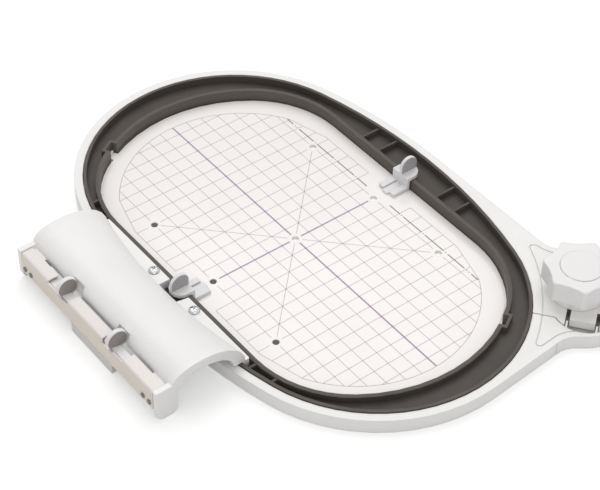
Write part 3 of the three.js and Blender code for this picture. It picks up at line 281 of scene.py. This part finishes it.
# Painted shade: rivet heads darkened so they show as dark dots.
rivet_shade_mat = metal("rivet_steel_shade", (0.20, 0.19, 0.18), rough=0.42)
fastener_mat = metal("fastener_zinc", (0.60, 0.585, 0.56), rough=0.34)
latch_mat = metal("latch_sheet", (0.56, 0.56, 0.55), rough=0.32, stretch=(1, 0.05, 1))
spring_mat = metal("spring_wire", (0.42, 0.42, 0.42), rough=0.28, scale=2600)
inner_mat = dark_moulding("inner_plastic", (0.085, 0.074, 0.066))
sheet_mat = hazy_sheet("template_sheet", (0.905, 0.872, 0.848))
violet_ink = printed("violet_ink", (0.40, 0.30, 0.39))
axis_ink = printed("axis_ink", (0.35, 0.245, 0.37))
olive_ink = printed("olive_ink", (0.20, 0.175, 0.12))
# Near-black colour of the discs in three marking holes.
hole_dark = printed("hole_dark", (0.05, 0.045, 0.055))


# Looks of the CAD nodes: copies with smooth shading and rounded edges

WELD = 0.002 * MM
SLIVER = 1e-10  # area, in square metres, below which a face's direction is left alone
SHARP = math.radians(38)  # edges that stay sharp in the shading
BEVELLED = math.radians(28)  # edges that are rounded
BEVEL_TRIES = 8
LAYINGS = 4
NORMAL_WEIGHT = 60

# Room for a rounding: places along the edge, and steps, gap and reach in shares of the rounding
ROOM_ALONG = (0.12, 0.5, 0.88)
ROOM_STEPS = (1.1, 2.2)
ROOM_GAP = 0.3
KEPT_REACH = 1.8
SAME_WAY = 0.9  # least agreement of two normals on one flat
TURNED = 0.1  # agreement with the CAD surface below which a face is turned over


def obj_from(bm, name, *materials):
    mesh = bpy.data.meshes.new(name)
    bm.to_mesh(mesh)
    bm.free()
    obj = bpy.data.objects.new(name, mesh)
    bpy.context.scene.collection.objects.link(obj)
    for mat in materials:
        mesh.materials.append(mat)
    return obj


def ready(obj, body, slot, *replaced):
    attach(obj, body)
    if replaced:
        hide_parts(*replaced)
    return obj


def smooth(bm):
    for f in bm.faces:
        f.smooth = True
    for e in bm.edges:
        e.smooth = len(e.link_faces) == 2 and e.calc_face_angle(0) < SHARP


def weighted(obj):
    mod = obj.modifiers.new("weighted", "WEIGHTED_NORMAL")
    mod.mode = "FACE_AREA_WITH_ANGLE"
    mod.keep_sharp = True
    mod.weight = NORMAL_WEIGHT


def welded(bm):
    bmesh.ops.remove_doubles(bm, verts=bm.verts, dist=WELD)
    bm.normal_update()
    return bm


def clean_copy(node):
    bm = bmesh.new()
    bm.from_mesh(nodes[node].data)
    return welded(bm)


def stand_in(bm, node, mat, face_mat):
    """Makes a mesh the look of a CAD node, in its place.

    face_mat is empty, or a second material and the test for the faces that take it.
    """
    smooth(bm)
    if face_mat:
        for face in bm.faces:
            face.material_index = int(face_mat[1](face))
    obj = obj_from(bm, node + "_look", mat, *face_mat[:1])
    weighted(obj)
    return ready(obj, body_of[node], slot_of[node], node)


def room(tree, edge, width):
    """True if both faces at this edge carry on flat past the rounding, all along it."""
    a, b = (v.co for v in edge.verts)
    along = (b - a).normalized()
    for face in edge.link_faces:
        inward = face.normal.cross(along)
        loop = next(l for l in face.loops if l.edge == edge)
        if loop.vert != edge.verts[0]:
            inward = -inward
        for share in ROOM_ALONG:
            for step in ROOM_STEPS:
                spot = a.lerp(b, share) + inward * width * step
                near, normal, _, gap = tree.find_nearest(spot)
                off = near is None or gap > ROOM_GAP * width
                if off or normal.dot(face.normal) < SAME_WAY:
                    return False
    return True


def beside(edge, spot, reach):
    """True if a spot is within reach of an edge."""
    a, b = (v.co for v in edge.verts)
    share = geometry.intersect_point_line(spot, a, b)[1]
    return (a.lerp(b, min(1, max(0, share))) - spot).length < reach


def to_round(bm, tree, width, kept_sharp):
    """The edges that can be rounded, away from the spots where that failed before."""
    return [
        e for e in bm.edges
        if len(e.link_faces) == 2 and e.calc_face_angle(0) > BEVELLED and room(tree, e, width)
        and not any(beside(e, spot, KEPT_REACH * width) for spot in kept_sharp)
    ]


def turned_over(face, tree):
    """True if a face points away from the CAD surface that it lies on."""
    normal = tree.find_nearest(face.calc_center_median())[1]
    return normal is not None and face.calc_area() > SLIVER and face.normal.dot(normal) < TURNED


def lay_flat(bm, tree):
    """Swaps the long edge of each turned-over triangle for the other diagonal."""
    for face in [f for f in bm.faces if len(f.verts) == 3 and turned_over(f, tree)]:
        if not face.is_valid:
            continue
        edge = max(face.edges, key=lambda e: e.calc_length())
        if len(edge.link_faces) == 2 and all(len(f.verts) == 3 for f in edge.link_faces):
            bmesh.utils.edge_rotate(edge, True)
    bm.normal_update()


def softened(node, mat, width, segments=2, face_mat=()):
    """A look with its edges rounded by this width. Edges that can't take it stay sharp."""
    width *= MM
    kept_sharp = []
    for _ in range(BEVEL_TRIES):
        bm = clean_copy(node)
        tree = BVHTree.FromBMesh(bm)
        edges = to_round(bm, tree, width, kept_sharp)
        if edges:
            bmesh.ops.bevel(
                bm, geom=edges, offset=width, offset_type="OFFSET", segments=segments,
                profile=0.5, affect="EDGES", clamp_overlap=False, loop_slide=True,
            )
        welded(bm)
        for _ in range(LAYINGS):
            lay_flat(bm, tree)
        bad = [f for f in bm.faces if turned_over(f, tree)]
        if not bad:
            break
        kept_sharp += [v.co.copy() for f in bad for v in f.verts]
    for face in bad:
        face.normal_flip()
    return stand_in(bm, node, mat, face_mat)


def rounded(node, mat, face_mat=()):
    """A smooth-shaded look with the CAD node's own faces."""
    return stand_in(clean_copy(node), node, mat, face_mat)


# Guide slots of the lock, from the knob's axis: along the split, and across it to the rear
SPLIT_HEADING = math.radians(-52)
GUIDE_PLACES = (-2.5, 14.5)
GUIDE_HALF, GUIDE_SLACK = 1.2, 0.2
GUIDE_FRONT, GUIDE_REAR = -23.7, -14.3
STEEP = 0.5  # most that an upright wall's normal rises

OUTWARD = 0.8  # least that the normal of the rail's outer face points out
PRESSED = 0.97  # least that the normal of a finger face points along the squeeze
PAD_LEVEL, TAB_LEVEL = 19, 12.5  # finger faces reach higher than this
CAP_FIT = 0.2  # let out all round, since the cap is pressed into the knob


def shaded_guide_wall(face):
    """True for the upright walls in the guide slots, which are deep; their dark colour is painted shade."""
    spot = face.calc_center_median() - Vector(joints["knob_twist"]["pos_m"])
    spot = Matrix.Rotation(-SPLIT_HEADING, 3, "Z") @ spot / MM
    in_line = any(abs(spot.x - place) < GUIDE_HALF + GUIDE_SLACK for place in GUIDE_PLACES)
    return abs(face.normal.z) < STEEP and in_line and GUIDE_FRONT < spot.y < GUIDE_REAR


def shaded_rail_face(face):
    """True for the rail's outer face, which takes a darker, yellower colour as painted shade and reflection."""
    return face.normal.x < -OUTWARD


def shaded_finger_face(level):
    """A test for the faces that fingers press, which reach higher than this level. Their darker colour is painted
    shade; their coarse grain is real.
    """
    return lambda face: (
        abs(face.normal.y) > PRESSED and max(v.co.z for v in face.verts) > level * MM
    )


def let_out(obj, node, by):
    """Widens a round look by this much all round its upright axis."""
    low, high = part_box(node)
    middle = (low + high) / 2
    grow = 1 + 2 * by * MM / (high.x - low.x)
    widen = Matrix.Diagonal((grow, grow, 1, 1))
    obj.data.transform(Matrix.Translation(middle) @ widen @ Matrix.Translation(-middle))


rounded("outer_ring", outer_mat, face_mat=(slot_shade_mat, shaded_guide_wall))
rounded("inner_ring", inner_mat)
softened("coupling_cover", cover_mat, width=0.6)
softened("coupling_rail", rail_mat, width=0.3, face_mat=(rail_face_shade_mat, shaded_rail_face))
softened("coupling_base", base_mat, width=0.35)
softened("lock_collar", outer_mat, width=0.4)
softened("twist_knob", knob_mat, width=0.8, segments=3)
let_out(softened("knob_cap", knob_mat, width=0.15), "knob_cap", CAP_FIT)
for node in ("grip_rear", "grip_front"):
    softened(node, grip_mat, width=0.5, face_mat=(pad_shade_mat, shaded_finger_face(PAD_LEVEL)))
for node in ("clip_left", "clip_right"):
    softened(node, clip_mat, width=0.35, face_mat=(tab_shade_mat, shaded_finger_face(TAB_LEVEL)))
for node in ("latch_rear", "latch_front"):
    softened(node, latch_mat, width=0.2)
softened("cam_disc", cam_mat, width=0.3)


# Screws, rivets and springs

CROSS_LENGTH, CROSS_WIDTH, CROSS_DEPTH = 3.6, 0.9, 1.3
CROSS_TURN = math.radians(25)


def cross_headed(node, mat):
    """A smooth look of a domed screw with a cross recess in its head."""
    low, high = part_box(node)
    middle = (low + high) / 2
    cutter = bmesh.new()
    for length, width in ((CROSS_LENGTH, CROSS_WIDTH), (CROSS_WIDTH, CROSS_LENGTH)):
        bar = bmesh.ops.create_cube(cutter, size=MM)["verts"]
        bmesh.ops.scale(cutter, verts=bar, vec=(length, width, 2 * CROSS_DEPTH))
        bmesh.ops.rotate(cutter, verts=bar, matrix=Matrix.Rotation(CROSS_TURN, 3, "Z"))
        bmesh.ops.translate(cutter, verts=bar, vec=(middle.x, middle.y, high.z))
    tool = obj_from(cutter, node + "_tool")
    whole = obj_from(clean_copy(node), node + "_whole")
    cut = whole.modifiers.new("cross", "BOOLEAN")
    cut.operation = "DIFFERENCE"
    cut.object = tool
    cut.solver = "EXACT"
    cut.use_self = True
    bm = bmesh.new()
    bm.from_object(whole, bpy.context.evaluated_depsgraph_get())
    bpy.data.objects.remove(tool)
    bpy.data.objects.remove(whole)
    smooth(welded(bm))
    obj = obj_from(bm, node + "_look", mat)
    return ready(obj, body_of[node], slot_of[node], node)


for node in ("flange_screw_rear", "flange_screw_front"):
    cross_headed(node, chrome_mat)
for node in nodes:
    if slot_of[node] == "fastener_steel":
        rounded(node, rivet_shade_mat if node.startswith("rail_rivet") else fastener_mat)

for side in ("rear", "front"):
    node = "grip_spring_" + side
    spring = rounded(node, spring_mat)
    low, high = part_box(node)
    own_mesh(spring)

nodes["template"].data.materials.clear()
nodes["template"].data.materials.append(sheet_mat)


# Print on the template: thin ink films on its top face, measured from the print's centre

sheet_low, sheet_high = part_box("template")
PRINT_SHIFT = -1.67  # print's centre along X, from the sheet's
print_x = (sheet_low.x + sheet_high.x) / 2 / MM + PRINT_SHIFT
print_y = (sheet_low.y + sheet_high.y) / 2 / MM
sheet_top = sheet_high.z / MM

INK = 0.03
THIN, BOLD, RULE = 0.34, 1.03, 0.75  # widths of grid lines, axes and broken line
GRID = 10
LINES_X, LINES_Y = 6, 12  # grid lines on each side of an axis
CLIP_STEP = 20  # half the gap in the field's outline at the clips

# Outline of the field: straight sides, sloping shoulders and round ends
FIELD_X, FIELD_Y = 72.5, 127.6
FIELD_STRAIGHT = 62
SHOULDER_X, SHOULDER_Y = 64.6, 91
END_CENTRE, END_RADIUS = 52.9, 74.8
END_STEPS = 48

HOLE_PITCH = 60
HOLE_CLEAR = 4.2
HOLES = [(x, y) for x in (-HOLE_PITCH, HOLE_PITCH) for y in (-HOLE_PITCH, 0, HOLE_PITCH)]
HOLES.append((0, 0))
DOT_LEVEL, DOT_RADIUS, DOT_THICK, DOT_SIDES = 1.5, 1.75, 0.6, 24

# Broken line along the far side: dashes and dots on each side of the middle
RULE_X = 63.8
RULE_DASHES = ((11, 20.5), (23.5, 40.5), (43.5, 60.5), (64, 79), (85, 91))
RULE_DOTS = (22, 42, 62.2, 81, 83)
RULE_DOT_HALF = 0.35

BOX_FACES = ((3, 2, 1, 0), (4, 5, 6, 7), (0, 1, 5, 4), (1, 2, 6, 5), (2, 3, 7, 6), (3, 0, 4, 7))


def film(bm, a, b, width):
    """A thin straight bar of ink from a to b, as a closed box."""
    a, b = Vector((*a, 0)), Vector((*b, 0))
    along = (b - a).normalized()
    across = Vector((-along.y, along.x, 0)) * width / 2
    corners = []
    for z in (sheet_top, sheet_top + INK):
        for p in (a - across, b - across, b + across, a + across):
            corners.append(bm.verts.new(Vector((p.x + print_x, p.y + print_y, z)) * MM))
    for quad in BOX_FACES:
        bm.faces.new([corners[i] for i in quad])


def clear_of_holes(a, b):
    """The stretches of a line that stay clear of the marking holes."""
    a, b = Vector(a), Vector(b)
    length = (b - a).length
    along = (b - a) / length
    cuts = []
    for hole in HOLES:
        to = Vector(hole) - a
        off = abs(to.x * along.y - to.y * along.x)
        if off < HOLE_CLEAR:
            half = math.sqrt(HOLE_CLEAR ** 2 - off ** 2)
            cuts.append((to.dot(along) - half, to.dot(along) + half))
    start = 0.0
    for low, high in sorted(cuts):
        if low > start:
            yield a + along * start, a + along * min(low, length)
        start = max(start, high)
    if start < length:
        yield a + along * start, b


def ruled(bm, a, b, width):
    """A line of ink from a to b, broken at the marking holes."""
    for start, end in clear_of_holes(a, b):
        film(bm, start, end, width)


def half_width(y):
    """Half the printed field's width at y."""
    y = abs(y)
    if y < FIELD_STRAIGHT:
        return FIELD_X
    if y < SHOULDER_Y:
        share = (y - FIELD_STRAIGHT) / (SHOULDER_Y - FIELD_STRAIGHT)
        return FIELD_X + (SHOULDER_X - FIELD_X) * share
    return math.sqrt(max(0, END_RADIUS ** 2 - (y - END_CENTRE) ** 2))


def half_length(x):
    """Half the printed field's length at x, which is within its round ends."""
    return END_CENTRE + math.sqrt(END_RADIUS ** 2 - x ** 2)


def grid_places(count):
    """Places of the grid lines on both sides of an axis."""
    return [k * GRID for k in range(-count, count + 1) if k != 0]


def printed_grid():
    """Grid lines, the field's outline and its diagonals."""
    bm = bmesh.new()
    for x in grid_places(LINES_X):
        y = half_length(x)
        ruled(bm, (x, -y), (x, y), THIN)
    for y in grid_places(LINES_Y):
        x = half_width(y) if abs(y) >= CLIP_STEP else LINES_X * GRID
        ruled(bm, (-x, y), (x, y), THIN)
    for sx in (-1, 1):
        for sy in (-1, 1):
            corner = (sx * FIELD_X, sy * FIELD_STRAIGHT)
            film(bm, (sx * FIELD_X, sy * CLIP_STEP), corner, THIN)
            film(bm, corner, (sx * SHOULDER_X, sy * SHOULDER_Y), THIN)
            ruled(bm, (0, 0), (sx * HOLE_PITCH, sy * HOLE_PITCH), THIN)
    first = math.atan2(SHOULDER_Y - END_CENTRE, SHOULDER_X)
    turns = [first + (math.pi - 2 * first) * i / END_STEPS for i in range(END_STEPS + 1)]
    for sy in (-1, 1):
        points = [
            (END_RADIUS * math.cos(turn), sy * (END_CENTRE + END_RADIUS * math.sin(turn)))
            for turn in turns
        ]
        for a, b in zip(points, points[1:]):
            film(bm, a, b, THIN)
    return bm


def printed_axes():
    bm = bmesh.new()
    ruled(bm, (0, -FIELD_Y), (0, FIELD_Y), BOLD)
    ruled(bm, (-HOLE_PITCH, 0), (HOLE_PITCH, 0), BOLD)
    return bm


def printed_rule():
    """The broken line along the far side of the field."""
    bm = bmesh.new()
    dots = [(dot - RULE_DOT_HALF, dot + RULE_DOT_HALF) for dot in RULE_DOTS]
    for s in (-1, 1):
        for low, high in (*RULE_DASHES, *dots):
            film(bm, (RULE_X, s * low), (RULE_X, s * high), RULE)
    return bm


def hole_dots():
    """Dark discs in the marking holes on the coupling's side."""
    bm = bmesh.new()
    radius = DOT_RADIUS * MM
    for x, y in HOLES:
        if x < 0:
            place = Vector((x + print_x, y + print_y, DOT_LEVEL)) * MM
            bmesh.ops.create_cone(
                bm, cap_ends=True, segments=DOT_SIDES, radius1=radius, radius2=radius,
                depth=DOT_THICK * MM, matrix=Matrix.Translation(place),
            )
    return bm


for name, bm, ink in (
    ("print_grid", printed_grid(), violet_ink),
    ("print_axes", printed_axes(), axis_ink),
    ("print_rule", printed_rule(), olive_ink),
    ("hole_dots", hole_dots(), hole_dark),
):
    ready(obj_from(bm, name, ink), "template", "template_sheet")


# Stage: camera, floor and light, in metres

EYE = (-0.464862, -0.590662, 0.719937)
EYE_TURN = (46.40205, -0.91185, -37.72225)  # degrees about X, Y and Z
LENS, SENSOR = 105.709, 36
NEAREST = 0.01

FLOOR_HALF = 6
FLOOR_DROP = 0.0002
FLOOR_TONE = (0.72, 0.72, 0.715, 1)
FLOOR_GLOW = 0.40
WHITE = (1, 1, 1, 1)
AMBIENT = 0.58


def seen_directly(nt):
    """1 for what the camera sees, straight on or in a reflection, and 0 for light that falls."""
    rays = add(nt, "ShaderNodeLightPath").outputs
    seen = math_node(nt, "MAXIMUM", rays["Is Camera Ray"], rays["Is Glossy Ray"])
    return math_node(nt, "MAXIMUM", seen, rays["Is Transmission Ray"])


def floor_material():
    """A matt floor that keeps its shadow and glows up to white where it is seen."""
    mat, nt, _ = new_material("floor")
    nt.nodes.clear()
    matt = add(nt, "ShaderNodeBsdfDiffuse", Color=FLOOR_TONE)
    strength = math_node(nt, "MULTIPLY", seen_directly(nt), FLOOR_GLOW)
    glow = add(nt, "ShaderNodeEmission", Color=WHITE, Strength=strength)
    both = add(nt, "ShaderNodeAddShader")
    feed(nt, matt.outputs[0], both.inputs[0])
    feed(nt, glow.outputs[0], both.inputs[1])
    add(nt, "ShaderNodeOutputMaterial", Surface=both.outputs[0])
    return mat


def area_light(name, place, size, power):
    """A rectangular lamp that points at the part."""
    light = bpy.data.lights.new(name, "AREA")
    light.shape = "RECTANGLE"
    light.size, light.size_y = size
    light.energy = power
    obj = bpy.data.objects.new(name, light)
    obj.location = place
    obj.rotation_euler = (-Vector(place)).to_track_quat("-Z", "Y").to_euler()
    bpy.context.scene.collection.objects.link(obj)


camera = bpy.data.objects.new("camera", bpy.data.cameras.new("camera"))
camera.data.sensor_fit = "HORIZONTAL"
camera.data.sensor_width = SENSOR
camera.data.lens = LENS
camera.data.clip_start = NEAREST
turn = Euler([math.radians(angle) for angle in EYE_TURN]).to_matrix().to_4x4()
camera.matrix_world = Matrix.Translation(EYE) @ turn
bpy.context.scene.collection.objects.link(camera)
bpy.context.scene.camera = camera

floor_bm = bmesh.new()
bmesh.ops.create_grid(floor_bm, x_segments=1, y_segments=1, size=FLOOR_HALF)
bmesh.ops.translate(floor_bm, verts=floor_bm.verts, vec=(0, 0, -FLOOR_DROP))
floor = obj_from(floor_bm, "floor", floor_material())

world = bpy.data.worlds.new("studio")
bpy.context.scene.world = world
world.use_nodes = True
sky = world.node_tree
background = sky.nodes["Background"]
background.inputs["Color"].default_value = WHITE
strength = varied(sky, seen_directly(sky), least=AMBIENT, spread=1 - AMBIENT)
feed(sky, strength, background.inputs["Strength"])

area_light("key", place=(0.35, 0.60, 1.45), size=(1.5, 1.3), power=11.2)
area_light("fill", place=(-0.7, -0.9, 0.9), size=(1.0, 1.0), power=3)

bpy.context.scene.view_settings.view_transform = "Standard"
